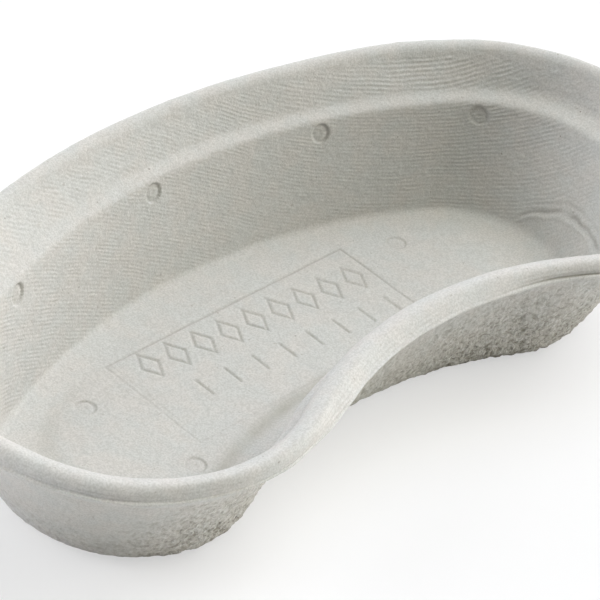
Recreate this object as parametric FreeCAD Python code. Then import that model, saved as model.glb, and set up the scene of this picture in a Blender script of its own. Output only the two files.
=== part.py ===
import FreeCAD, Part
import math
import os

# Kidney dish of moulded paper pulp: one thin continuous shell, open at the top.
#
# Every horizontal outline of the dish is a curved slot: two arcs about one common axis, closed by a
# round lobe at each end. An outline is named by its inset, the distance it lies inside the edge of
# the flange. The skin is built up band by band from these outlines and closed by the two flat floors.
#
# Frame: millimetres, +Z up, long side along X, convex back towards +Y. The origin is the centre of
# the bounding box on the plane that the dish rests on.

# Overall size
LENGTH = 260.0               # end to end over the flange
HEIGHT = 48.0                # base to rim crest
ARM_WIDTH = 110.0            # flange edge to flange edge, back to front at any one place
BEND_RADIUS = 163.0          # radius of the slot's centre line

# Rolled rim, and the thin flange that runs along its foot
CREST_INSET = 4.6
RIM_RADIUS = 5.5             # inner round of the rim
ROLL_RADIUS = 2.8            # outer round of the rim
FLANGE_WIDTH = 1.4
FLANGE_THICKNESS = 1.4
FLANGE_DROP = 3.7            # top of the flange below the rim crest
FLANGE_ROOT_RADIUS = 1.2     # hollow under the flange

# Inner wall, from the rim down
SHOULDER_TOP_INSET = 10.8
SHOULDER_TOP_Z = 37.0
SHOULDER_FOOT_INSET = 14.1
SHOULDER_FOOT_Z = 35.1
WALL_LEAN = 15.0             # degrees from vertical, at the back and the front
FLOOR_THICKNESS = 2.3
FOOT_RADIUS = 4.0            # between the wall and the band
BAND_SLOPE = 7.0             # degrees; the band runs from the wall's foot down to the floor
TOE_INSET = 31.3             # where the band meets the floor

# Outer wall
WALL_THICKNESS = 2.6         # square to the wall
BASE_EDGE_RADIUS = 5.6

# The end walls of the lobes lean more: their centres draw in below the rim
DRAW_IN_START = 10.0         # inset at which it begins
DRAW_IN_RATE = 0.72          # extra inset per millimetre of inset

# Marks left by the mould
PLUG_RADIUS = 3.0
PLUG_GROOVE_WIDTH = 0.7
PLUG_DEPTH = 0.4
DIMPLE_RADIUS = 0.8
WALL_PLUG_Z = 31.2
WALL_PLUGS = (-72.0, -10.5, 50.5, 102.0)     # distances along the back wall, from its middle
FLOOR_PLUGS = ((63.0, 17.5), (-61.0, 15.8), (-52.5, -17.5))
PLATE_LENGTH = 92.0
PLATE_WIDTH = 37.0
PLATE_CENTRE = (0.5, 6.5)
PLATE_GROOVE_WIDTH = 0.5
PLATE_GROOVE_DEPTH = 0.3

# Worked out from the above
LEAN = math.tan(math.radians(WALL_LEAN))
HALF_ARM = ARM_WIDTH / 2
LOBE_ANGLE = math.asin((LENGTH / 2 - HALF_ARM) / BEND_RADIUS)
SWEEP_DROP = BEND_RADIUS * (1 - math.cos(LOBE_ANGLE))
AXIS_Y = -BEND_RADIUS + SWEEP_DROP / 2
THICKNESS_ACROSS = WALL_THICKNESS / math.cos(math.radians(WALL_LEAN))


def draw_in(inset):
    """Extra distance by which a lobe's centre is drawn in towards the middle."""
    return DRAW_IN_RATE * max(inset - DRAW_IN_START, 0.0)


def polar(radius, angle, z):
    """Point about the bend axis; angle 0 points to the back and grows towards +X."""
    return FreeCAD.Vector(radius * math.sin(angle), AXIS_Y + radius * math.cos(angle), z)


def outline(inset, z):
    """Closed curved-slot wire at one inset and one height: back arc, lobe, front arc, lobe."""
    half = HALF_ARM - inset
    end = LOBE_ANGLE - draw_in(inset) / BEND_RADIUS
    back, front = BEND_RADIUS + half, BEND_RADIUS - half
    tip = FreeCAD.Vector(half * math.cos(end), -half * math.sin(end), 0)
    right_tip = polar(BEND_RADIUS, end, z) + tip
    left_tip = FreeCAD.Vector(-right_tip.x, right_tip.y, z)
    corners = [polar(back, -end, z), polar(back, end, z), polar(front, end, z), polar(front, -end, z)]
    middles = [polar(back, 0, z), right_tip, polar(front, 0, z), left_tip]
    edges = []
    for start, middle, stop in zip(corners, middles, corners[1:] + corners[:1]):
        edges.append(Part.Arc(start, middle, stop).toShape())
    return Part.Wire(edges)


def arc_points(centre, radius, start, stop, steps=6):
    """(inset, z) points on an arc of the cross-section; angle 0 faces inwards, 90 faces up."""
    points = []
    for step in range(steps + 1):
        angle = math.radians(start + (stop - start) * step / steps)
        points.append((centre[0] + radius * math.cos(angle), centre[1] + radius * math.sin(angle)))
    return points


def wall_foot():
    """(inset, z) points of the small round between the inner wall and the band."""
    slope = math.radians(BAND_SLOPE)
    fall = math.tan(slope)
    wall_rise = SHOULDER_FOOT_Z - FLOOR_THICKNESS
    corner_inset = (SHOULDER_FOOT_INSET + (wall_rise - TOE_INSET * fall) * LEAN) / (1 - fall * LEAN)
    corner_z = FLOOR_THICKNESS + (TOE_INSET - corner_inset) * fall
    tangent = FOOT_RADIUS * math.tan(math.radians((90 - WALL_LEAN - BAND_SLOPE) / 2))
    centre = (
        corner_inset + tangent * math.cos(slope) + FOOT_RADIUS * math.sin(slope),
        corner_z - tangent * math.sin(slope) + FOOT_RADIUS * math.cos(slope),
    )
    return arc_points(centre, FOOT_RADIUS, 180 + WALL_LEAN, 270 - BAND_SLOPE)


def cross_section():
    """Runs of (inset, z) points, from the underside, up the outside, over the rim, to the floor.

    A run of two points is a straight wall and a longer run is a smooth curve.
    """
    outer_corner = SHOULDER_FOOT_INSET + SHOULDER_FOOT_Z * LEAN - THICKNESS_ACROSS
    base_tangent = BASE_EDGE_RADIUS * math.tan(math.radians((90 - WALL_LEAN) / 2))
    base_centre = (outer_corner + base_tangent, BASE_EDGE_RADIUS)
    base_edge = arc_points(base_centre, BASE_EDGE_RADIUS, 270, 180 + WALL_LEAN)

    outer_shoulder_foot = (SHOULDER_FOOT_INSET - THICKNESS_ACROSS, SHOULDER_FOOT_Z)
    outer_shoulder_top = (SHOULDER_TOP_INSET - THICKNESS_ACROSS, SHOULDER_TOP_Z)
    flange_top_z = HEIGHT - FLANGE_DROP
    flange_under_z = flange_top_z - FLANGE_THICKNESS
    root_inset = CREST_INSET + RIM_RADIUS - THICKNESS_ACROSS
    root_centre = (root_inset - FLANGE_ROOT_RADIUS, flange_under_z - FLANGE_ROOT_RADIUS)
    flange_root = arc_points(root_centre, FLANGE_ROOT_RADIUS, 0, 90, 4)
    edge_radius = FLANGE_THICKNESS / 2
    flange_edge = arc_points((edge_radius, flange_top_z - edge_radius), edge_radius, 270, 90)

    roll_foot = (FLANGE_WIDTH, flange_top_z)
    roll = arc_points((FLANGE_WIDTH + ROLL_RADIUS, HEIGHT - ROLL_RADIUS), ROLL_RADIUS, 180, 90)
    rim = arc_points((CREST_INSET, HEIGHT - RIM_RADIUS), RIM_RADIUS, 90, 0)
    shoulder_top = (SHOULDER_TOP_INSET, SHOULDER_TOP_Z)
    shoulder_foot = (SHOULDER_FOOT_INSET, SHOULDER_FOOT_Z)
    foot = wall_foot()
    toe = (TOE_INSET, FLOOR_THICKNESS)

    return [
        base_edge,
        [base_edge[-1], outer_shoulder_foot],
        [outer_shoulder_foot, outer_shoulder_top],
        [outer_shoulder_top, flange_root[0]],
        flange_root,
        [flange_root[-1], flange_edge[0]],
        flange_edge,
        [flange_edge[-1], roll_foot],
        [roll_foot, roll[0]],
        roll,
        [roll[-1], rim[0]],
        rim,
        [rim[-1], shoulder_top],
        [shoulder_top, shoulder_foot],
        [shoulder_foot, foot[0]],
        foot,
        [foot[-1], toe],
    ]


def shell_solid():
    """The plain dish: all bands of the skin with its underside and its inner floor."""
    runs = cross_section()
    faces = []
    for run in runs:
        wires = [outline(inset, z) for inset, z in run]
        faces += Part.makeLoft(wires, False, len(run) == 2).Faces
    faces.append(Part.Face(outline(*runs[0][0])))
    faces.append(Part.Face(outline(*runs[-1][-1])))
    skin = Part.makeShell(faces)
    skin.sewShape()
    solid = Part.makeSolid(Part.Shell(skin.Faces))
    if solid.Volume < 0:
        solid.reverse()
    return solid


def plug_mark(centre, direction):
    """Tool for one round plug mark: a ring groove with a small dimple in its middle."""
    start = centre - direction * PLUG_DEPTH
    reach = 2 * PLUG_DEPTH
    ring = Part.makeCylinder(PLUG_RADIUS, reach, start, direction)
    core = Part.makeCylinder(PLUG_RADIUS - PLUG_GROOVE_WIDTH, reach, start, direction)
    dimple = Part.makeCylinder(DIMPLE_RADIUS, reach, start, direction)
    return [ring.cut(core), dimple]


def wall_plug_marks():
    """Plug marks in a row along the inside of the back wall, just below the shoulder."""
    inset = SHOULDER_FOOT_INSET + (SHOULDER_FOOT_Z - WALL_PLUG_Z) * LEAN
    half = HALF_ARM - inset
    end = LOBE_ANGLE - draw_in(inset) / BEND_RADIUS
    back_run = (BEND_RADIUS + half) * end
    lean = math.radians(WALL_LEAN)
    tools = []
    for along in WALL_PLUGS:
        side = math.copysign(1.0, along)
        if abs(along) <= back_run:
            turn = abs(along) / (BEND_RADIUS + half)
            spot = polar(BEND_RADIUS + half, turn, WALL_PLUG_Z)
        else:
            turn = end + (abs(along) - back_run) / half
            spot = polar(BEND_RADIUS, end, WALL_PLUG_Z)
            spot += FreeCAD.Vector(half * math.sin(turn), half * math.cos(turn), 0)
        spot.x *= side
        inward = FreeCAD.Vector(-side * math.sin(turn), -math.cos(turn), 0) * math.cos(lean)
        inward.z = math.sin(lean)
        tools += plug_mark(spot, inward)
    return tools


def floor_marks():
    """Plug marks on the floor and the thin outline of the mould's insert plate."""
    up = FreeCAD.Vector(0, 0, 1)
    tools = []
    for x, y in FLOOR_PLUGS:
        tools += plug_mark(FreeCAD.Vector(x, y, FLOOR_THICKNESS), up)
    groove = PLATE_GROOVE_WIDTH
    depth = PLATE_GROOVE_DEPTH
    corner = FreeCAD.Vector(PLATE_CENTRE[0] - PLATE_LENGTH / 2, PLATE_CENTRE[1] - PLATE_WIDTH / 2,
                            FLOOR_THICKNESS - depth)
    plate = Part.makeBox(PLATE_LENGTH, PLATE_WIDTH, 2 * depth, corner)
    inner_corner = corner + FreeCAD.Vector(groove, groove, 0)
    inner = Part.makeBox(PLATE_LENGTH - 2 * groove, PLATE_WIDTH - 2 * groove, 2 * depth, inner_corner)
    tools.append(plate.cut(inner))
    return tools


def pulp_dish():
    """The whole moulding."""
    return shell_solid().cut(wall_plug_marks() + floor_marks())


os.makedirs("parts", exist_ok=True)
dish = pulp_dish()
dish.exportStep("parts/pulp_dish.step")
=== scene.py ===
import math
from collections import namedtuple
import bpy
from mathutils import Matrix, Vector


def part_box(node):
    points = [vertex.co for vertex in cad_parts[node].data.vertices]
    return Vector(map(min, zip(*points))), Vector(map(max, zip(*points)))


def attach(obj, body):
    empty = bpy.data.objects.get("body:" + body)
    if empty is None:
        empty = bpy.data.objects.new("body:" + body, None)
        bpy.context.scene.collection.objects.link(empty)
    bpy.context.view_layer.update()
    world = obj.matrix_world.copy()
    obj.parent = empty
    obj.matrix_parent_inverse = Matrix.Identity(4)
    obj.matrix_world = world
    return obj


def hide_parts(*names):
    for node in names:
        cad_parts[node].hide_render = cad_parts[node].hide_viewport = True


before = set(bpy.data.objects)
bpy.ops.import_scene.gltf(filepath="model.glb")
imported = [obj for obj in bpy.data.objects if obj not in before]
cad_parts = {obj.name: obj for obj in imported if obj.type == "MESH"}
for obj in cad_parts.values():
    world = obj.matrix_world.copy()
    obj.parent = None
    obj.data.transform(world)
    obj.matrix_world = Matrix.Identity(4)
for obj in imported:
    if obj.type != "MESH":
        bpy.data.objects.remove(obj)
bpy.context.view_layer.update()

from types import SimpleNamespace

import bpy
import numpy as np
from mathutils import Matrix, Vector

# Kidney dish of moulded paper pulp. One closed shell stands for the CAD node: a grid of rows (along the
# cross-section, from under the base, over the rim, to the middle of the floor) by columns (once round
# the dish). Lengths are metres.

MM = 0.001
NODE = "pulp_dish"
low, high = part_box(NODE)
LENGTH = high.x - low.x
WIDTH = high.y - low.y
HEIGHT = high.z - low.z

# Plan: every outline is a curved slot, named by its inset from the edge of the flange
ARM_WIDTH = 110 * MM
HALF_ARM = ARM_WIDTH / 2
LOBE_REACH = LENGTH / 2 - HALF_ARM
SWEEP_DROP = WIDTH - ARM_WIDTH
BEND_RADIUS = (LOBE_REACH**2 + SWEEP_DROP**2) / (2 * SWEEP_DROP)
LOBE_ANGLE = math.asin(LOBE_REACH / BEND_RADIUS)
AXIS_Y = SWEEP_DROP / 2 - BEND_RADIUS
DRAW_IN_START = 10 * MM
DRAW_IN_RATE = 0.72

# Cross-section
ROOT_RADIUS = 1.2 * MM
SHOULDER_TOP = (10.8 * MM, 37.0 * MM)
SHOULDER_FOOT = (14.1 * MM, 35.1 * MM)
WALL_LEAN = math.radians(15)
WALL_THICKNESS = 2.6 * MM
FLOOR_Z = 2.3 * MM
FOOT_TOP_Z = 3.8 * MM              # the straight wall ends here
FOOT = (23.3 * MM, 2.8 * MM)       # the wall's round breaks off here, at 45 degrees
TOE_INSET = 31.3 * MM              # a smooth band runs from the foot to the floor
BASE_EDGE_RADIUS = 5.6 * MM

# Rim styles, in mm. Flange: drop below the crest, inset of its edge, width of its level top, thickness
# and inset of its root. Then the roll's fullness (1: quarter round, 0: straight slope), the crest's
# inset, how far the crest stands above the dish's height, and the radius of the rim's inner round.
RimStyle = namedtuple(
    "RimStyle", "drop edge lip thickness root_inset fullness crest_inset rise rim_radius"
)
RIM_STYLES = {
    "rolled": RimStyle(3.0, 0.0, 0.3, 1.4, 5.0, 0.9, 2.4, 0.6, 3.6),
    "close": RimStyle(3.6, 1.3, 0.2, 0.9, 4.4, 0.95, 4.6, 0.0, 5.5),
    "tucked": RimStyle(4.2, 3.0, 0.1, 0.6, 5.0, 0.8, 4.8, 0.0, 5.5),
    "flat": RimStyle(3.3, 0.2, 0.1, 1.0, 7.4, 0.2, 4.6, 0.0, 5.5),
    "creased": RimStyle(3.5, 1.6, 0.4, 1.0, 6.5, 1.0, 4.6, 0.0, 5.5),
}
# Where they lie: distance round the flange from the middle of the back, clockwise from above, in mm
RIM_STATIONS = (
    (-330, "flat"), (-288, "flat"), (-262, "tucked"), (-232, "tucked"), (-208, "close"), (-150, "close"),
    (-110, "rolled"), (200, "rolled"), (235, "creased"), (288, "creased"), (308, "flat"), (330, "flat"),
)

# The rim leans outwards (or inwards) by this much more, in mm, at these distances round the flange;
# the lean grows from nothing at the lower height to its full amount at the upper one
RIM_FLARE = (
    (-180, 0.0), (-150, 2.0), (-62, 2.5), (-45, 1.8), (-13, 0.5), (17, -0.1), (45, -0.4), (73, 0.9),
    (86, 1.5), (99, 0.8), (130, -0.4), (160, 0.0),
)
FLARE_Z = (36 * MM, 46 * MM)

# Grid: columns along each arc and each lobe, and how often its corners are softened
ARC_COLUMNS = 440
LOBE_COLUMNS = 270
CORNER_PASSES = 3
SHOULDER_PASSES = 10
SHOULDER_ZONE_Z = (26 * MM, 43 * MM)
SHOULDER_ZONE_INSET = 8 * MM

# Wire ribs of the mould inside; they climb and fall on their way round
RIB_PITCH = 1.10 * MM
RIB_HEIGHT = 0.060 * MM
RIB_SLOPES = (
    (-250, 0.0), (-200, 0.4), (-150, 0.15), (-70, -0.5), (20, -0.5), (90, 0.0), (135, 0.7), (190, 0.3),
    (250, 0.0),
)
RIBS_BEGIN_Z = (2.5 * MM, 5 * MM)            # they grow between these heights
RIBS_END_Z = (44.5 * MM, 46.5 * MM)          # and fade between these
SHOULDER_FADE_Z = (33.8 * MM, 35.2 * MM)     # on the shoulder they nearly vanish
SHOULDER_RETURN_Z = (36.8 * MM, 38.2 * MM)
STRONGER_RIBS = (60 * MM, 100 * MM)          # they grow higher between these distances round the dish

# Relief: height and size of the features
SHEET_WAVES = (0.14 * MM, 14 * MM)
FELT_SIZE = 1.3 * MM
FELT_OUTSIDE = 0.06 * MM
FELT_ELSEWHERE = 0.03 * MM
FIBRES = (0.08 * MM, 2.6 * MM)
LUMPS = (0.36 * MM, 3.0 * MM)
CRUMBS = (0.42 * MM, 1.7 * MM)
PITS = (0.50 * MM, 1.6 * MM)
RIM_WAVES = (0.09 * MM, 5 * MM)
FLANGE_WAVES = (0.22 * MM, 7 * MM)

# Layer lines on the rim's roll, and the crevice at its foot
LAYER_PITCH = 0.90 * MM
LAYER_DEPTH = 0.12 * MM
LAYERS_END_Z = (46.2 * MM, 47.2 * MM)
CREVICE_DEPTH = 0.35 * MM
CREVICE_ROWS = 3.2                           # its width in rows of the grid

# Crease where the band meets the floor
TOE_CREASE_SHIFT = 0.6 * MM
TOE_CREASE_WIDTH = 4.4 * MM
TOE_CREASE_DEPTH = (0.10 * MM, 0.65 * MM)    # everywhere, and added at the front
FRONT_STARTS = (225 * MM, 262 * MM)          # distance round the flange at which the front begins
LEFT_STARTS = (-60 * MM, -130 * MM)          # and the left lobe

# How rough the outside is, round the dish
ROUGH_STATIONS = (
    (-330, 0.55), (-290, 0.75), (-265, 1.0), (-235, 1.0), (-208, 0.35), (-150, 0.3), (0, 0.5),
    (120, 0.6), (240, 1.0), (290, 0.95), (315, 0.6), (330, 0.55),
)

# How clearly a crevice parts the rim's roll from the flange, round the dish
CREVICE_STATIONS = (
    (-235, 0.0), (-215, 0.05), (-170, 0.05), (-140, 0.0), (225, 0.0), (245, 0.8), (285, 0.8), (308, 0.0),
)

# Marks of the mould's fittings
PLUG_RADIUS = 3.0 * MM
PLUG_DEPTH = 0.6 * MM
WALL_PLUG_Z = 31.2 * MM
WALL_PLUGS = (-72.0, -10.5, 50.5, 102.0)
FLOOR_PLUGS = ((63.0, 17.5), (-61.0, 15.8), (-52.5, -17.5))
PLATE_SIZE = (92.0 * MM, 37.0 * MM)
PLATE_CENTRE = (0.5 * MM, 6.5 * MM)
PLATE_LINE = (0.30 * MM, 0.6 * MM)           # depth and width
INNER_LINE = (0.12 * MM, 0.5 * MM)           # a second, fainter line inside its left end
INNER_LINE_INSET = 1.6 * MM

# Plain pattern on the plate: a row of lozenges and a row of short bars, as (x, y) of its two ends
LOZENGES = ((-35.0, 18.8), (40.0, 13.4))
LOZENGE_COUNT = 9
LOZENGE_SIZE = (3.0 * MM, 5.0 * MM)
BARS = ((-29.0, 3.6), (41.0, -1.2))
BAR_COUNT = 8
BAR_HALF_HEIGHT = 3.2 * MM
STROKE = (0.40 * MM, 0.9 * MM)               # depth and width

# Colours of the pulp, of the dirt in it, and of painted highlight and painted shade
WARM_PULP = (0.660, 0.643, 0.606, 1)
COOL_PULP = (0.636, 0.640, 0.612, 1)
CLOUD = (0.560, 0.555, 0.530, 1)
GRAIN_SHADE = (0.85, 0.85, 0.84, 1)
COARSE_PULP = (0.570, 0.535, 0.460, 1)
# painted highlight on the tops of the crumbs outside, then painted shade in their hollows
CRUMB_HIGHLIGHT = (0.800, 0.790, 0.760, 1)
HOLLOW_SHADE = (0.330, 0.310, 0.260, 1)
HAIR = (0.30, 0.27, 0.22, 1)
SPECK = (0.24, 0.22, 0.18, 1)
# painted shade in the pits outside
PIT_SHADE = (0.26, 0.25, 0.20, 1)
# painted shade in grooves and creases
GROOVE_SHADE = (0.20, 0.18, 0.14, 1)
# painted shade in the crease at the toe
TOE_SHADE = (0.34, 0.33, 0.27, 1)

# Camera, floor and light
CAMERA_AZIMUTH = -52.66
CAMERA_ELEVATION = 37.77
CAMERA_ROLL = 11.52
CAMERA_DISTANCE = 782.9 * MM
CAMERA_TARGET = (22.0 * MM, 16.8 * MM, 0)
CAMERA_LENS = 166.26
FLOOR_COLOUR = (0.88, 0.88, 0.88)
FLOOR_SIZE = 12.0
FLOOR_GAP = 0.2 * MM               # the floor lies this far under the dish
FLOOR_GLOW = 0.55                  # share of plain white that the camera sees in the floor
# Wide soft lights: apparent width in degrees, then the azimuth, elevation, strength and colour of each
LIGHT_WIDTH = 40
SOFT_LIGHTS = (
    (225, 12, 2.09, (0.92, 0.92, 1.00)),
    (45, 12, 1.50, (1.00, 1.00, 0.96)),
    (90, 12, 1.45, (0.96, 0.93, 1.00)),
    (45, 64, 1.25, (1.00, 0.96, 0.80)),
    (225, 38, 0.91, (0.98, 1.00, 1.00)),
    (90, 38, 0.84, (0.86, 0.87, 1.00)),
    (90, 64, 1.03, (0.80, 0.86, 1.00)),
)


def smooth(low_edge, high_edge, value):
    """0 below low_edge, 1 above high_edge and an S-shaped step between them."""
    t = np.clip((value - low_edge) / (high_edge - low_edge), 0, 1)
    return t * t * (3 - 2 * t)


def noise(points, size, seed):
    """Smooth noise from -1 to 1 with features of the given size, one value for each point."""
    period = 64
    lattice = np.random.default_rng(seed).uniform(-1, 1, (period, period, period))
    scaled = points / size + 1000 * period     # the shift keeps the cell numbers positive
    cell = np.floor(scaled).astype(np.int64)
    part = scaled - cell
    part = part * part * (3 - 2 * part)
    total = np.zeros(points.shape[:-1])
    for corner in range(8):
        offset = np.array([corner & 1, corner >> 1 & 1, corner >> 2 & 1])
        index = (cell + offset) % period
        share = np.where(offset == 1, part, 1 - part).prod(axis=-1)
        total += share * lattice[index[..., 0], index[..., 1], index[..., 2]]
    return total


def layered_noise(points, size, seed, layers=3):
    """Sum of noises, each half as large and half as strong as the one before."""
    total = np.zeros(points.shape[:-1])
    for layer in range(layers):
        total += noise(points, size / 2**layer, seed + layer) / 2**layer
    return total / 1.5


def along_stations(stations, travelled):
    """Value at each distance round the dish, straight between the stations (distances in mm)."""
    places, values = zip(*stations)
    return np.interp(travelled, np.array(places) * MM, values)


def arc(centre, radius, start, stop, steps=12):
    """(inset, z) points on an arc; angle 0 faces inwards and 90 faces up."""
    turn = np.radians(np.linspace(start, stop, steps + 1))
    return [(centre[0] + radius * math.cos(a), centre[1] + radius * math.sin(a)) for a in turn]


def bezier(start, control, stop, steps=16):
    """(inset, z) points on a quadratic curve."""
    points = []
    for t in np.linspace(0, 1, steps + 1):
        weights = ((1 - t) ** 2, 2 * t * (1 - t), t * t)
        inset, z = (sum(w * p[k] for w, p in zip(weights, (start, control, stop))) for k in (0, 1))
        points.append((inset, z))
    return points


def roll_curve(foot, crest, fullness, steps=12):
    """(inset, z) points from the flange up to the crest."""
    points = []
    for t in np.linspace(0, 1, steps + 1):
        turn = t * math.pi / 2
        across = fullness * (1 - math.cos(turn)) + (1 - fullness) * t
        rise = fullness * math.sin(turn) + (1 - fullness) * t
        points.append((foot[0] + (crest[0] - foot[0]) * across, foot[1] + (crest[1] - foot[1]) * rise))
    return points


def cross_section(style):
    """Runs of the cross-section as (name, row spacing, points), for one style of rim."""
    fullness = RIM_STYLES[style].fullness
    drop, edge, lip, thickness, root_inset, _, crest_inset, rise, rim_radius = (
        value * MM for value in RIM_STYLES[style]
    )
    crest = (crest_inset, HEIGHT + rise)
    lean = math.tan(WALL_LEAN)
    across = WALL_THICKNESS / math.cos(WALL_LEAN)
    inner_corner = SHOULDER_FOOT[0] + (SHOULDER_FOOT[1] - FLOOR_Z) * lean
    outer_corner = inner_corner - across + FLOOR_Z * lean
    lean_degrees = math.degrees(WALL_LEAN)
    half_turn = math.radians((90 - lean_degrees) / 2)

    base_centre = (outer_corner + BASE_EDGE_RADIUS * math.tan(half_turn), BASE_EDGE_RADIUS)
    base_edge = arc(base_centre, BASE_EDGE_RADIUS, 270, 180 + lean_degrees)
    outer_foot = (SHOULDER_FOOT[0] - across, SHOULDER_FOOT[1])
    outer_top = (SHOULDER_TOP[0] - across, SHOULDER_TOP[1])

    flange_top = crest[1] - drop
    flange_under = flange_top - thickness
    flange_root = arc((root_inset - ROOT_RADIUS, flange_under - ROOT_RADIUS), ROOT_RADIUS, 0, 90, 5)
    edge_radius = thickness / 2
    flange_edge = arc((edge + edge_radius, flange_top - edge_radius), edge_radius, 270, 90, 7)
    roll_foot = (edge + edge_radius + lip, flange_top)
    roll = roll_curve(roll_foot, crest, fullness)
    rim_centre = (crest_inset, crest[1] - rim_radius)
    to_shoulder = (SHOULDER_TOP[0] - rim_centre[0], SHOULDER_TOP[1] - rim_centre[1])
    tangent_turn = math.acos(rim_radius / math.hypot(*to_shoulder))
    rim_end = math.atan2(to_shoulder[1], to_shoulder[0]) + tangent_turn
    rim = arc(rim_centre, rim_radius, 90, math.degrees(rim_end))

    wall_end = (SHOULDER_FOOT[0] + (SHOULDER_FOOT[1] - FOOT_TOP_Z) * lean, FOOT_TOP_Z)
    control_drop = (FOOT_TOP_Z - FOOT[1] - (FOOT[0] - wall_end[0])) / (1 - lean)
    control = (wall_end[0] + control_drop * lean, FOOT_TOP_Z - control_drop)
    fillet = bezier(wall_end, control, FOOT)
    toe = (TOE_INSET, FLOOR_Z)

    return [
        ("underside", 1.6 * MM, [(HALF_ARM, 0), base_edge[0]]),
        ("base_edge", 0.5 * MM, base_edge),
        ("outer_wall", 0.5 * MM, [base_edge[-1], outer_foot]),
        ("outer_wall", 0.5 * MM, [outer_foot, outer_top]),
        ("outer_wall", 0.5 * MM, [outer_top, flange_root[0]]),
        ("flange", 0.4 * MM, flange_root),
        ("flange", 0.6 * MM, [flange_root[-1], flange_edge[0]]),
        ("flange", 0.25 * MM, flange_edge),
        ("flange", 0.3 * MM, [flange_edge[-1], roll_foot]),
        ("roll", 0.3 * MM, roll),
        ("rim", 0.4 * MM, rim),
        ("upper_wall", 0.3 * MM, [rim[-1], SHOULDER_TOP]),
        ("shoulder", 0.3 * MM, [SHOULDER_TOP, SHOULDER_FOOT]),
        ("lower_wall", 0.3 * MM, [SHOULDER_FOOT, wall_end]),
        ("lower_wall", 0.3 * MM, fillet),
        ("band", 0.35 * MM, [FOOT, toe]),
        ("floor", 0.3 * MM, [toe, (HALF_ARM, FLOOR_Z)]),
    ]


def rows_of(runs, counts):
    """Samples each run evenly into its number of rows; returns the (inset, z) of every row."""
    rows = []
    for (_, _, points), count in zip(runs, counts):
        path = np.array(points, float)
        walked = np.concatenate([[0], np.cumsum(np.hypot(*np.diff(path, axis=0).T))])
        stops = np.linspace(0, walked[-1], count + 1)[:-1]
        rows += list(zip(np.interp(stops, walked, path[:, 0]), np.interp(stops, walked, path[:, 1])))
    rows.append(runs[-1][2][-1])
    return np.array(rows)


def rounded(rows, passes):
    """Softens the corners of a run of (inset, z) rows, leaving its two ends in place."""
    rows = rows.copy()
    for _ in range(passes):
        rows[1:-1] = (rows[:-2] + 2 * rows[1:-1] + rows[2:]) / 4
    return rows


def softened_section(rows):
    """The cross-section with slightly rounded corners, and a much softer shoulder."""
    rows = rounded(rows, CORNER_PASSES)
    above = rows[:, 1] > SHOULDER_ZONE_Z[0]
    below = rows[:, 1] < SHOULDER_ZONE_Z[1]
    inside = np.flatnonzero((rows[:, 0] > SHOULDER_ZONE_INSET) & above & below)
    inside = inside[inside > rows[:, 1].argmax()]
    rows[inside] = rounded(rows[inside], SHOULDER_PASSES)
    return rows


def section_grid():
    """The zone name of each row, and the (inset, z) rows of every rim style."""
    runs = cross_section("rolled")
    counts = []
    zones = []
    for name, spacing, points in runs:
        length = np.hypot(*np.diff(np.array(points, float), axis=0).T).sum()
        counts.append(max(2, round(length / spacing)))
        zones += [name] * counts[-1]
    zones.append(zones[-1])
    sections = {style: softened_section(rows_of(cross_section(style), counts)) for style in RIM_STYLES}
    return np.array(zones), sections


def blended_section(sections, travelled):
    """Inset and z of the whole grid: each column passes smoothly from one rim style to the next."""
    inset = 0
    z = 0
    places = np.array([place for place, _ in RIM_STATIONS]) * MM
    share_of = np.eye(len(places))
    for index, (_, style) in enumerate(RIM_STATIONS):
        weight = np.interp(travelled, places, share_of[index])
        weight = weight * weight * (3 - 2 * weight)
        inset = inset + sections[style][:, :1] * weight
        z = z + sections[style][:, 1:] * weight
    flare = along_stations(RIM_FLARE, travelled) * MM
    return inset - flare * smooth(*FLARE_Z, z), z


def column_grid():
    """Kind (0 back arc, 1 right lobe, 2 front arc, 3 left lobe) and fraction along it, per column."""
    kinds = []
    shares = []
    for kind, count in enumerate((ARC_COLUMNS, LOBE_COLUMNS, ARC_COLUMNS, LOBE_COLUMNS)):
        kinds += [kind] * count
        shares += list(np.arange(count) / count)
    return np.array(kinds), np.array(shares)


def plan(inset, kinds, shares):
    """x, y, outward direction and distance round from the middle of the back, for a grid of insets."""
    half = HALF_ARM - inset
    end = LOBE_ANGLE - DRAW_IN_RATE * np.maximum(inset - DRAW_IN_START, 0) / BEND_RADIUS
    # turn: direction of the outward normal, from the back towards +X
    turn = np.select(
        [kinds == 0, kinds == 1, kinds == 2],
        [(2 * shares - 1) * end, end + shares * math.pi, math.pi + (1 - 2 * shares) * end],
        -end + math.pi + shares * math.pi,
    )
    along = np.select([kinds == 0, kinds == 1, kinds == 2], [turn, end, (1 - 2 * shares) * end], -end)
    x = BEND_RADIUS * np.sin(along) + half * np.sin(turn)
    y = AXIS_Y + BEND_RADIUS * np.cos(along) + half * np.cos(turn)
    back_length = 2 * (BEND_RADIUS + half) * end
    lobe_length = math.pi * half
    front_length = 2 * (BEND_RADIUS - half) * end
    travelled = np.select(
        [kinds == 0, kinds == 1, kinds == 2],
        [
            (shares - 0.5) * back_length,
            back_length / 2 + shares * lobe_length,
            back_length / 2 + lobe_length + shares * front_length,
        ],
        back_length / 2 + lobe_length + front_length + shares * lobe_length,
    )
    round_trip = back_length + 2 * lobe_length + front_length
    travelled = np.where(travelled > round_trip / 2, travelled - round_trip, travelled)
    return x, y, np.sin(turn), np.cos(turn), travelled


def rib_climb(travelled):
    """Height gained by the wire ribs on their way round; level again at the front, so that they meet."""
    places = np.array([place for place, _ in RIB_SLOPES]) * MM
    fine = np.linspace(places[0], places[-1], 2000)
    slope = along_stations(RIB_SLOPES, fine)
    lobes = smooth(150 * MM, 200 * MM, np.abs(fine)) * (1 - smooth(220 * MM, 250 * MM, np.abs(fine)))
    slope -= lobes * slope.sum() / lobes.sum()
    climb = np.cumsum(slope) * (fine[1] - fine[0])
    return np.interp(travelled, fine, climb)


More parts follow.
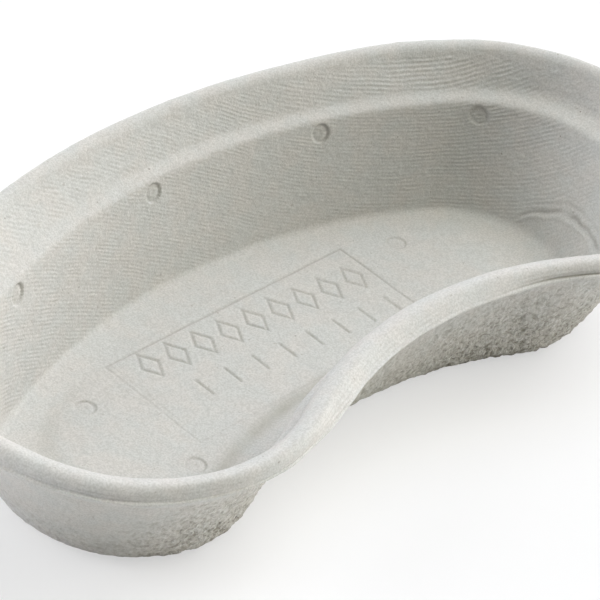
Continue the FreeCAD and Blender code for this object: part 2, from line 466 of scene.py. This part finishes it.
def groove(distance, width):
    """Unit groove profile around a line."""
    return np.exp(-((distance / (width / 2)) ** 2))


def plug_mark(distance):
    """Height (metres) and painted shade of a round plug mark: a sunk disc with a sharp edge and a
    dimple, shaded at its edge and in the dimple.
    """
    disc = 1 - smooth(PLUG_RADIUS - 0.45 * MM, PLUG_RADIUS + 0.05 * MM, distance)
    dome = np.clip(1 - (distance / (0.75 * PLUG_RADIUS)) ** 2, 0, None)
    dimple = groove(distance, 1.1 * MM)
    height = PLUG_DEPTH * (-disc + 0.45 * dome - 0.35 * dimple)
    dark = 0.35 * groove(distance - PLUG_RADIUS + 0.35 * MM, 0.6 * MM) + 0.3 * dimple
    return height, dark


def row_places(ends, count):
    """Evenly spaced (x, y) places from one end of a row to the other."""
    (x0, y0), (x1, y1) = ends
    return [(x0 + (x1 - x0) * t, y0 + (y1 - y0) * t) for t in np.linspace(0, 1, count)]


def pattern_distance(x, y):
    """Distance in plan to the nearest stroke of the plain pattern on the plate."""
    nearest = np.full(x.shape, 1.0)
    half_x, half_y = LOZENGE_SIZE
    for cx, cy in row_places(LOZENGES, LOZENGE_COUNT):
        outline = np.abs(x - cx * MM) / half_x + np.abs(y - cy * MM) / half_y - 1
        nearest = np.minimum(nearest, np.abs(outline) / math.hypot(1 / half_x, 1 / half_y))
    for cx, cy in row_places(BARS, BAR_COUNT):
        below = np.maximum(np.abs(y - cy * MM) - BAR_HALF_HEIGHT, 0)
        nearest = np.minimum(nearest, np.hypot(x - cx * MM, below))
    return nearest


def floor_marks(x, y):
    """Height of the plate outline, the plug marks and the plain pattern in the floor, and painted shade
    in their grooves.
    """
    half_x, half_y = PLATE_SIZE[0] / 2, PLATE_SIZE[1] / 2
    px, py = x - PLATE_CENTRE[0], y - PLATE_CENTRE[1]
    edge = np.maximum(np.abs(px) - half_x, np.abs(py) - half_y)
    # the lines are clearer towards the back right
    clearer = 0.35 + 0.65 * smooth(-10 * MM, 15 * MM, py + 0.3 * px)
    outline = groove(edge, PLATE_LINE[1]) * clearer
    inner_line = groove(px + half_x - INNER_LINE_INSET, INNER_LINE[1]) * (np.abs(py) < half_y) * clearer
    strokes = groove(pattern_distance(x, y), STROKE[1])
    height = -PLATE_LINE[0] * outline - INNER_LINE[0] * inner_line - STROKE[0] * strokes
    # painted shade in the grooves of the plate, the pattern and the plug marks
    dark = 0.5 * outline + 0.25 * inner_line + 0.28 * strokes
    for cx, cy in FLOOR_PLUGS:
        plug_height, plug_dark = plug_mark(np.hypot(x - cx * MM, y - cy * MM))
        height += 0.6 * plug_height
        dark += 0.7 * plug_dark
    return height, dark


def corner_creases(grid):
    """Height and painted shade of the pinched creases at the wall's foot in the back right corner."""
    # the creases climb from the wall's foot as they turn the corner, and end in the lobe
    climb = 15 - 9.8 * np.exp(-(np.maximum(grid.turn, 0) - 76) / 12)
    line = climb * MM + 1.0 * MM * layered_noise(grid.points, 5 * MM, 81, 2)
    reach = smooth(74, 82, grid.turn) * (1 - smooth(122, 134, grid.turn))
    reach = reach * np.clip(0.75 + 0.9 * noise(grid.points, 3.5 * MM, 82), 0.1, None)
    above = grid.z - line
    crease = groove(above, 1.3 * MM)
    ridge = groove(above + 1.7 * MM, 1.5 * MM)
    upper = groove(above - 2.6 * MM, 1.2 * MM) * smooth(80, 92, grid.turn)
    height = reach * MM * (0.60 * ridge - 0.60 * crease - 0.25 * upper)
    # painted shade in the creases
    dark = reach * (0.35 * crease + 0.15 * upper)
    return height * grid.inner, dark * grid.inner


def lay_out_grid():
    """The smooth shell: positions, directions and zones of the whole grid."""
    zones, sections = section_grid()
    kinds, shares = column_grid()
    shape = (len(zones), len(kinds))
    kinds = np.broadcast_to(kinds, shape)
    shares = np.broadcast_to(shares, shape)

    round_flange = plan(np.zeros(shape[1]), kinds[0], shares[0])[4]
    inset, z = blended_section(sections, round_flange)
    step_inset = np.gradient(inset, axis=0)
    step_z = np.gradient(z, axis=0)
    step = np.hypot(step_inset, step_z)
    outwards = step_z / step
    upwards = step_inset / step

    x, y, out_x, out_y, travelled = plan(inset, kinds, shares)
    zone = np.broadcast_to(zones[:, None], shape)
    return SimpleNamespace(
        shape=shape,
        points=np.stack([x, y, z], axis=-1),
        directions=np.stack([outwards * out_x, outwards * out_y, upwards], axis=-1),
        x=x,
        y=y,
        z=z,
        inset=inset,
        round_flange=round_flange,
        travelled=travelled,
        turn=np.degrees(np.arctan2(out_x, out_y)),
        rising=step_z > 0,
        zone=zone,
        row_above_flange=np.arange(shape[0])[:, None] - np.flatnonzero(zones == "roll")[0],
        inner=np.isin(zone, ["upper_wall", "shoulder", "lower_wall"]),
        outer=np.isin(zone, ["outer_wall", "base_edge"]),
        rim=np.isin(zone, ["roll", "rim", "flange"]),
    )


def stretched(points, x_scale, y_scale, z_scale):
    """Points for a noise whose features are shortened along an axis by its factor."""
    return points * np.array([x_scale, y_scale, z_scale])


def sheet_relief(grid):
    """Height of the slow unevenness of the sheet and of its felted skin."""
    height, size = SHEET_WAVES
    waves = height * layered_noise(grid.points, size, 1)
    felt_height = np.where(grid.outer, FELT_OUTSIDE, FELT_ELSEWHERE)
    return waves + felt_height * layered_noise(grid.points, FELT_SIZE, 11, 2)


def rib_relief(grid):
    """Height of the wire ribs inside, in broken and wandering runs, with fibres between them."""
    points, z = grid.points, grid.z
    shoulder_fade = 1 - 0.9 * (smooth(*SHOULDER_FADE_Z, z) - smooth(*SHOULDER_RETURN_Z, z))
    ribbed = grid.inner * (1 - smooth(*RIBS_END_Z, z)) * shoulder_fade * smooth(*RIBS_BEGIN_Z, z)
    ribbed = ribbed * (1 + 0.9 * smooth(*STRONGER_RIBS, grid.travelled))
    runs = 0.70 + 0.60 * noise(stretched(points, 1, 1, 2.2), 4.5 * MM, 21)
    runs = np.clip(runs + 0.6 * noise(stretched(points, 1, 1, 1.5), 1.6 * MM, 25), 0.05, None)
    wander = 0.30 * MM * noise(points, 7 * MM, 22) + 0.12 * MM * noise(points, 2.5 * MM, 23)
    phase = 2 * math.pi * (z - rib_climb(grid.travelled) + wander) / RIB_PITCH
    height, size = FIBRES
    fibres = height * grid.inner * layered_noise(stretched(points, 1, 1, 2.5), size, 24, 3)
    return RIB_HEIGHT * ribbed * runs * np.sin(phase) + fibres


def wall_plug_marks(grid):
    """Height and painted shade of the row of plug marks on the back wall."""
    height = np.zeros(grid.shape)
    dark = np.zeros(grid.shape)
    up_the_wall = (grid.z - WALL_PLUG_Z) / math.cos(WALL_LEAN)
    for along in WALL_PLUGS:
        plug_height, plug_dark = plug_mark(np.hypot(grid.travelled - along * MM, up_the_wall))
        height += plug_height
        dark += plug_dark
    return height * grid.inner, dark * grid.inner


def toe_crease(grid):
    """Height and painted shade of the soft crease beside the floor, deepest at the front and on the
    left.
    """
    front = smooth(*FRONT_STARTS, np.abs(grid.round_flange))
    left = smooth(*LEFT_STARTS, grid.round_flange)
    depth = TOE_CREASE_DEPTH[0] + TOE_CREASE_DEPTH[1] * np.maximum(front, 0.35 * left)
    crease = groove(grid.inset - TOE_INSET - TOE_CREASE_SHIFT, TOE_CREASE_WIDTH)
    crease = crease * (0.75 + 0.4 * noise(grid.points, 6 * MM, 71))
    height = -depth * crease * np.isin(grid.zone, ["band", "floor"])
    # painted shade in the crease, strongest at the front and on the left
    return height, crease * np.maximum(front, 0.45 * left)


def outside_relief(grid):
    """Height, coarseness and pits of the crumbly outside, and painted shade along its base."""
    roughness = along_stations(ROUGH_STATIONS, grid.round_flange)
    towards_base = 1 - smooth(6 * MM, 16 * MM + 28 * MM * roughness, grid.z)
    coarse = grid.outer * roughness * (0.2 + 0.8 * towards_base)
    sheared = grid.points + grid.points[..., 2:] * np.array([0.5, 0.0, 0.0])
    height = LUMPS[0] * coarse * layered_noise(sheared, LUMPS[1], 31, 2)
    height += CRUMBS[0] * coarse * layered_noise(sheared, CRUMBS[1], 35, 2)
    crumbly = smooth(-0.3, 0.4, noise(grid.points, 8 * MM, 46))
    pit_noise = layered_noise(stretched(sheared, 1, 1, 1.5), PITS[1], 41, 2)
    # the pits are sunk, and the material paints shade into them
    pits = coarse * crumbly * smooth(0.10, 0.60, pit_noise)
    height -= PITS[0] * pits
    # painted shade along the foot of the outer wall, just above the floor
    base_shade = grid.outer * (1 - smooth(1.5 * MM, 5.5 * MM, grid.z))
    base_shade = base_shade * smooth(-0.1, 0.5, noise(grid.points, 3 * MM, 45))
    return height, coarse, pits, 1.2 * base_shade * roughness


def rim_relief(grid):
    """Height of the rim's layer lines, its crevice, its waves and the flange's edge, and painted shade
    in the troughs of the layer lines and in the crevice.
    """
    points = grid.points
    height = RIM_WAVES[0] * grid.rim * layered_noise(points, RIM_WAVES[1], 51, 2)
    layers = np.sin(2 * math.pi * (grid.z + 0.15 * MM * noise(points, 9 * MM, 52)) / LAYER_PITCH)
    layered = (grid.zone == "roll") * (1 - smooth(*LAYERS_END_Z, grid.z))
    layered = layered * (0.6 + 0.5 * noise(points, 12 * MM, 53))
    crevice = groove(grid.row_above_flange, CREVICE_ROWS)
    crevice = crevice * along_stations(CREVICE_STATIONS, grid.round_flange)
    crevice = crevice * np.clip(0.8 + 0.5 * noise(points, 6 * MM, 54), 0, None)
    height += LAYER_DEPTH * layers * layered - CREVICE_DEPTH * crevice
    edge_wave = FLANGE_WAVES[0] * layered_noise(stretched(points, 1, 1, 0.2), FLANGE_WAVES[1], 61, 3)
    height += np.where((grid.zone == "flange") & grid.rising, edge_wave, 0)
    # painted shade in the troughs of the layer lines and in the crevice
    dark = 0.35 * np.clip(-layers, 0, None) * layered + 0.60 * crevice
    return height, dark


def build_shell():
    """Positions of the whole grid, with the masks that the material uses."""
    grid = lay_out_grid()
    on_floor = grid.zone == "floor"
    plug_height, plug_dark = wall_plug_marks(grid)
    floor_height, floor_dark = floor_marks(grid.x, grid.y)
    crease_height, crease_dark = corner_creases(grid)
    toe_height, toe_shade = toe_crease(grid)
    outside_height, coarse, pits, base_shade_dark = outside_relief(grid)
    rim_height, rim_dark = rim_relief(grid)

    shift = sheet_relief(grid) + rib_relief(grid) + plug_height + floor_height * on_floor
    shift += crease_height + toe_height + outside_height + rim_height
    # dark: painted shade in the plug marks, the floor's grooves, the corner creases, the rim's layer
    # lines and crevice, and along the base
    dark = plug_dark + floor_dark * on_floor + crease_dark + base_shade_dark + rim_dark
    shift[grid.zone == "underside"] = 0
    moved = grid.points + shift[..., None] * grid.directions
    moved[..., 2] = np.maximum(moved[..., 2], 0)
    masks = {"coarse": coarse, "pits": pits, "dark": dark, "toe_shade": toe_shade}
    return moved, masks


def fold_ids(row_count):
    """Vertex number of every grid place; the first and last rows close on the dish's middle line."""
    kinds, _ = column_grid()
    columns = np.arange(len(kinds))
    front_start = ARC_COLUMNS + LOBE_COLUMNS
    station = np.select(
        [kinds == 0, kinds == 1, kinds == 2],
        [columns, ARC_COLUMNS, front_start + ARC_COLUMNS - columns],
        0,
    )
    line = ARC_COLUMNS + 1
    ids = line + (np.arange(row_count)[:, None] - 1) * len(kinds) + columns
    ids[0] = station
    ids[-1] = line + (row_count - 2) * len(kinds) + station
    return ids


def fold(values):
    """The grid's values in vertex order."""
    line = ARC_COLUMNS + 1
    flat = values[1:-1].reshape(-1, *values.shape[2:])
    return np.concatenate([values[0, :line], flat, values[-1, :line]])


def make_shell(name, points):
    """Closed mesh from the grid of positions."""
    ids = fold_ids(len(points))
    after = np.roll(ids, -1, axis=1)
    quads = np.stack([ids[:-1], ids[1:], after[1:], after[:-1]], axis=-1)
    faces = quads[1:-1].reshape(-1, 4).tolist()
    for quad in np.concatenate([quads[0], quads[-1]]).tolist():
        corners = list(dict.fromkeys(quad))
        faces.append(corners)
    mesh = bpy.data.meshes.new(name)
    mesh.from_pydata(fold(points).tolist(), [], faces)
    mesh.polygons.foreach_set("use_smooth", np.ones(len(faces), bool))
    mesh.update()
    piece = bpy.data.objects.new(name, mesh)
    bpy.context.scene.collection.objects.link(piece)
    return piece


def add_mask(piece, name, values):
    """Stores one value per vertex for the material."""
    attribute = piece.data.attributes.new(name, "FLOAT", "POINT")
    attribute.data.foreach_set("value", fold(values).astype(np.float32))


class Nodes:
    """Short way to add linked shader nodes."""

    def __init__(self, tree):
        self.tree = tree
        tree.nodes.clear()

    def add(self, kind, inputs=None, **settings):
        node = self.tree.nodes.new(kind)
        for key, value in settings.items():
            setattr(node, key, value)
        for key, value in (inputs or {}).items():
            if isinstance(value, bpy.types.NodeSocket):
                self.tree.links.new(value, node.inputs[key])
            else:
                node.inputs[key].default_value = value
        return node

    def math(self, operation, first, second=0.0, clamp=False):
        inputs = {0: first, 1: second}
        return self.add("ShaderNodeMath", inputs, operation=operation, use_clamp=clamp).outputs[0]

    def noise(self, vector, size, detail=2.0, distortion=0.0):
        inputs = {"Vector": vector, "Scale": 1 / size, "Detail": detail, "Distortion": distortion}
        return self.add("ShaderNodeTexNoise", inputs).outputs["Fac"]

    def step(self, value, low_edge, high_edge):
        inputs = {"Value": value, "From Min": low_edge, "From Max": high_edge}
        return self.add("ShaderNodeMapRange", inputs, interpolation_type="SMOOTHSTEP").outputs[0]

    def mix(self, share, first, second, blend="MIX"):
        inputs = {0: share, 6: first, 7: second}
        return self.add("ShaderNodeMix", inputs, data_type="RGBA", blend_type=blend).outputs[2]

    def tint(self, colour, share, strength, second):
        """Colour moved towards the second one by a mask times a strength."""
        return self.mix(self.math("MULTIPLY", share, strength, clamp=True), colour, second)

    def attribute(self, name):
        return self.add("ShaderNodeAttribute", attribute_name=name).outputs["Fac"]


def pulp_colour(nodes, place, coarse, crumbs):
    """Mottled grey-white felt with hairs and specks, a painted highlight on the crumbs outside, and
    painted shade in their hollows, in pits, grooves and creases.
    """
    # slightly warm and cool patches, clouds and grain
    patches = nodes.step(nodes.noise(place, 9 * MM, 3), 0.35, 0.65)
    colour = nodes.mix(patches, WARM_PULP, COOL_PULP)
    clouds = nodes.step(nodes.noise(place, 3.0 * MM, 4), 0.30, 0.72)
    colour = nodes.tint(colour, clouds, 0.25, CLOUD)
    grain = nodes.step(nodes.noise(place, 0.50 * MM, 2), 0.66, 0.34)
    colour = nodes.mix(grain, colour, GRAIN_SHADE, "MULTIPLY")

    # crumbs of fibre outside: painted highlight on their raised tops, painted shade (darker and browner)
    # in their hollows
    crumb_highlight = nodes.math("MULTIPLY", nodes.step(crumbs, 0.54, 0.66), coarse)
    hollow_shade = nodes.math("MULTIPLY", nodes.step(crumbs, 0.48, 0.36), coarse)
    colour = nodes.tint(colour, coarse, 0.45, COARSE_PULP)
    colour = nodes.tint(colour, crumb_highlight, 0.65, CRUMB_HIGHLIGHT)
    colour = nodes.tint(colour, hollow_shade, 0.90, HOLLOW_SHADE)

    # short dark hairs, in few places
    off_middle = nodes.math("SUBTRACT", nodes.noise(place, 2.6 * MM, 1, 0.6), 0.5)
    hair = nodes.step(nodes.math("ABSOLUTE", off_middle), 0.012, 0.003)
    hair_patches = nodes.step(nodes.noise(place, 1.7 * MM, 2), 0.60, 0.66)
    colour = nodes.tint(colour, nodes.math("MULTIPLY", hair, hair_patches), 0.45, HAIR)

    # scattered specks of uneven size
    bent = nodes.math("MULTIPLY", nodes.noise(place, 0.9 * MM, 2), 0.22)
    cells = nodes.add("ShaderNodeTexVoronoi", {"Vector": place, "Scale": 1 / (2.4 * MM)})
    kind_of_cell = nodes.add("ShaderNodeSeparateColor", {"Color": cells.outputs["Color"]})
    distance = nodes.math("ADD", cells.outputs["Distance"], bent)
    chosen = nodes.step(kind_of_cell.outputs[0], 0.90, 0.93)
    speck = nodes.math("MULTIPLY", nodes.step(distance, 0.27, 0.16), chosen)
    speck = nodes.math("MULTIPLY", speck, kind_of_cell.outputs[1])
    colour = nodes.tint(colour, speck, 0.8, SPECK)

    # painted shade in pits, grooves and creases, and in the crease at the toe
    colour = nodes.tint(colour, nodes.attribute("pits"), 0.75, PIT_SHADE)
    colour = nodes.tint(colour, nodes.attribute("dark"), 0.70, GROOVE_SHADE)
    # painted shade in the crease at the toe
    return nodes.tint(colour, nodes.attribute("toe_shade"), 0.60, TOE_SHADE)


def pulp_relief(nodes, place, coarse, crumbs):
    """Normal of the relief below the size of the mesh: felt everywhere, crumbs outside."""
    fine = nodes.math("MULTIPLY", nodes.noise(place, 0.45 * MM, 3), 0.35)
    felt = nodes.math("MULTIPLY", nodes.noise(place, 1.2 * MM, 3), 0.65)
    height = nodes.math("ADD", fine, felt)
    felted = nodes.add("ShaderNodeBump", {"Strength": 0.60, "Distance": 0.30 * MM, "Height": height})
    bump = nodes.add(
        "ShaderNodeBump",
        {"Strength": coarse, "Distance": 1.7 * MM, "Height": crumbs, "Normal": felted.outputs[0]},
    )
    return bump.outputs[0]


def pulp_material():
    """Moulded paper pulp, matt and fibrous."""
    material = bpy.data.materials.new("moulded_pulp")
    material.use_nodes = True
    nodes = Nodes(material.node_tree)
    place = nodes.add("ShaderNodeTexCoord").outputs["Object"]
    coarse = nodes.attribute("coarse")
    crumbs = nodes.noise(place, 1.3 * MM, 4, 0.4)
    colour = pulp_colour(nodes, place, coarse, crumbs)
    normal = pulp_relief(nodes, place, coarse, crumbs)
    surface = nodes.add(
        "ShaderNodeBsdfPrincipled",
        {"Base Color": colour, "Roughness": 0.92, "Specular IOR Level": 0.15, "Normal": normal},
    )
    nodes.add("ShaderNodeOutputMaterial", {"Surface": surface.outputs[0]})
    return material


def stage_material():
    """Pale, matt studio floor; a share of white keeps the shadows light for the camera."""
    material = bpy.data.materials.new("studio_floor")
    material.use_nodes = True
    nodes = Nodes(material.node_tree)
    surface = nodes.add("ShaderNodeBsdfDiffuse", {"Color": (*FLOOR_COLOUR, 1)})
    glow = nodes.add("ShaderNodeEmission", {"Color": (1, 1, 1, 1), "Strength": 1.0})
    seen = nodes.add("ShaderNodeLightPath").outputs["Is Camera Ray"]
    share = nodes.math("MULTIPLY", seen, FLOOR_GLOW)
    shown = nodes.add("ShaderNodeMixShader", {0: share, 1: surface.outputs[0], 2: glow.outputs[0]})
    nodes.add("ShaderNodeOutputMaterial", {"Surface": shown.outputs[0]})
    return material


def studio_world():
    """White behind the dish for the camera, and no light of its own."""
    world = bpy.data.worlds.new("studio")
    bpy.context.scene.world = world
    world.use_nodes = True
    nodes = Nodes(world.node_tree)
    seen = nodes.add("ShaderNodeLightPath").outputs["Is Camera Ray"]
    backdrop = nodes.add("ShaderNodeBackground", {"Color": (1, 1, 1, 1), "Strength": seen})
    nodes.add("ShaderNodeOutputWorld", {"Surface": backdrop.outputs[0]})


def aimed(direction, target, distance, roll=0.0):
    """Matrix of an object that looks at the target from the given direction."""
    back = Vector(direction).normalized()
    right = Vector((0, 0, 1)).cross(back)
    right = right.normalized() if right.length > 0 else Vector((1, 0, 0))
    up = back.cross(right)
    turned_right = right * math.cos(roll) + up * math.sin(roll)
    turned_up = up * math.cos(roll) - right * math.sin(roll)
    matrix = Matrix((turned_right, turned_up, back)).transposed().to_4x4()
    matrix.translation = Vector(target) + back * distance
    return matrix


def direction_of(azimuth, elevation):
    """Direction from the dish to a viewer; azimuth 0 is in front of it, towards -Y."""
    azimuth, elevation = math.radians(azimuth), math.radians(elevation)
    flat = math.cos(elevation)
    return (math.sin(azimuth) * flat, -math.cos(azimuth) * flat, math.sin(elevation))


def add_soft_light(index, azimuth, elevation, strength, colour):
    """Very wide and distant light, so that its shadows are soft."""
    name = f"soft_light_{index}"
    light = bpy.data.lights.new(name, "SUN")
    light.angle = math.radians(LIGHT_WIDTH)
    light.energy = strength
    light.color = colour
    lamp = bpy.data.objects.new(name, light)
    lamp.matrix_world = aimed(direction_of(azimuth, elevation), (0, 0, 0), 1.0)
    bpy.context.scene.collection.objects.link(lamp)


def add_camera():
    """Long lens, high and from the left of the concave side, tilted a little."""
    lens = bpy.data.cameras.new("camera")
    lens.sensor_width = 36
    lens.lens = CAMERA_LENS
    lens.clip_start = 0.01
    lens.clip_end = 100
    camera = bpy.data.objects.new("camera", lens)
    direction = direction_of(CAMERA_AZIMUTH, CAMERA_ELEVATION)
    camera.matrix_world = aimed(direction, CAMERA_TARGET, CAMERA_DISTANCE, math.radians(CAMERA_ROLL))
    bpy.context.scene.collection.objects.link(camera)
    bpy.context.scene.camera = camera


def add_floor():
    """Large flat floor just under the dish."""
    half = FLOOR_SIZE / 2
    corners = [(-half, -half, 0), (half, -half, 0), (half, half, 0), (-half, half, 0)]
    mesh = bpy.data.meshes.new("studio_floor")
    mesh.from_pydata(corners, [], [(0, 1, 2, 3)])
    mesh.materials.append(stage_material())
    floor = bpy.data.objects.new("studio_floor", mesh)
    bpy.context.scene.collection.objects.link(floor)
    floor.location.z = -FLOOR_GAP


points, masks = build_shell()
dish = make_shell("pulp_dish_shell", points)
for mask_name, mask_values in masks.items():
    add_mask(dish, mask_name, mask_values)
dish.data.materials.append(pulp_material())
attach(dish, "root")
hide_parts(NODE)

add_floor()
studio_world()
for index, soft_light in enumerate(SOFT_LIGHTS):
    add_soft_light(index, *soft_light)
add_camera()
bpy.context.scene.view_settings.view_transform = "Standard"
